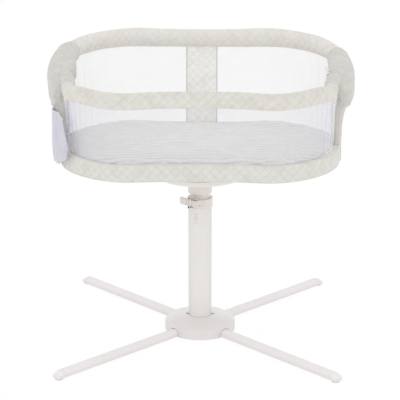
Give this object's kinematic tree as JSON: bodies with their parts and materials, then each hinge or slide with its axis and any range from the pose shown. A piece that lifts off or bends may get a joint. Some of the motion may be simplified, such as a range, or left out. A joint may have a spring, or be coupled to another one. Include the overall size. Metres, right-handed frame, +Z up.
{
  "type": "swivel bassinet",
  "caption": "Free-standing swivel bassinet: X base, telescoping column with a clamp, round swivel dish and an oval padded bed with mesh walls and a lowering front rail.",
  "frame": {"origin": "on the floor, on the column's axis", "axes": "+Z up; +X along the bed, towards the end without the pouch; -Y towards the front rail that is pushed down"},
  "size_m": [0.9288, 0.8386, 0.9118],
  "materials": {
    "painted_steel": "satin powder coat",
    "hub_plastic": "smooth moulded",
    "dish_plastic": "fine moulded texture",
    "neck_plastic": "fine moulded texture",
    "inner_paint": "satin powder coat",
    "clamp_plastic": "fine moulded texture",
    "tray_plastic": "fine moulded texture",
    "quilted_fabric": "quilted padded cover",
    "panel_fabric": "padded cover",
    "sheet_fabric": "fitted sheet",
    "mesh_fabric": "open knitted mesh",
    "steel": "zinc plated",
    "rubber": "matt",
    "nylon": "smooth moulded",
    "hardboard": "pressed board"
  },
  "bodies": {
    "base": {"hub_cover": "hub_plastic", "hub_base_plate": "painted_steel", "leg_front_left": "painted_steel", "leg_front_right": "painted_steel", "leg_rear_left": "painted_steel", "leg_rear_right": "painted_steel", "leg_end_cap_front_left": "hub_plastic", "leg_end_cap_front_right": "hub_plastic", "leg_end_cap_rear_left": "hub_plastic", "leg_end_cap_rear_right": "hub_plastic", "foot_pad_front_left": "rubber", "foot_pad_front_right": "rubber", "foot_pad_rear_left": "rubber", "foot_pad_rear_right": "rubber", "leg_screw_front_left": "steel", "leg_screw_front_right": "steel", "leg_screw_rear_left": "steel", "leg_screw_rear_right": "steel", "column_socket": "steel", "outer_column_tube": "painted_steel", "column_cross_bolt": "steel", "column_guide_bush": "nylon", "clamp_collar": "clamp_plastic", "clamp_bolt": "steel", "clamp_nut": "steel", "lever_pin": "steel"},
    "clamp_lever": {"clamp_lever": "clamp_plastic"},
    "upper_column": {"inner_column_tube": "inner_paint", "inner_tube_glide": "nylon", "dish_neck": "neck_plastic", "swivel_dish_lower": "dish_plastic", "swivel_bearing_ring": "nylon", "swivel_bolt": "steel", "swivel_nut": "steel"},
    "bed": {"swivel_dish_upper": "dish_plastic", "bed_tray": "tray_plastic", "tray_skirt": "quilted_fabric", "dish_screw_1": "steel", "dish_screw_2": "steel", "dish_screw_3": "steel", "post_cross_pin_left": "steel", "post_cross_pin_right": "steel", "mattress_board": "hardboard", "mattress": "sheet_fabric", "rear_rail_tube": "painted_steel", "rear_rail_pad": "quilted_fabric", "end_post_cover_left": "quilted_fabric", "end_post_cover_right": "quilted_fabric", "hinge_pin_left": "steel", "hinge_pin_right": "steel", "return_spring_left": "steel", "return_spring_right": "steel", "rear_strut": "painted_steel", "rear_panel": "panel_fabric", "mesh_wall_rear_left": "mesh_fabric", "mesh_wall_rear_right": "mesh_fabric", "mesh_wall_front": "mesh_fabric", "side_pouch": "mesh_fabric"},
    "front_rail": {"front_rail_tube": "painted_steel", "front_rail_pad": "quilted_fabric"}
  },
  "joints": [
    {"name": "column_slide", "type": "slide", "parent": "base", "child": "upper_column", "axis": [0, 0, 1], "range_m": [0, 0.254]},
    {"name": "bed_swivel", "type": "hinge", "parent": "upper_column", "child": "bed", "pos_m": [0, 0, 0.5175], "axis": [0, 0, 1], "continuous": true},
    {"name": "clamp_lever_swing", "type": "hinge", "parent": "base", "child": "clamp_lever", "pos_m": [-0.0345, -0.0345, 0.42], "axis": [0, 0, 1], "range_deg": [0, 100]},
    {"name": "front_rail_drop", "type": "hinge", "parent": "bed", "child": "front_rail", "pos_m": [0, 0.055, 0.8208], "axis": [1, 0, 0], "range_deg": [0, 24], "stiffness_Nm_per_rad": 6, "springref_deg": -45.84, "deforming": ["mesh_wall_front"]}
  ]
}
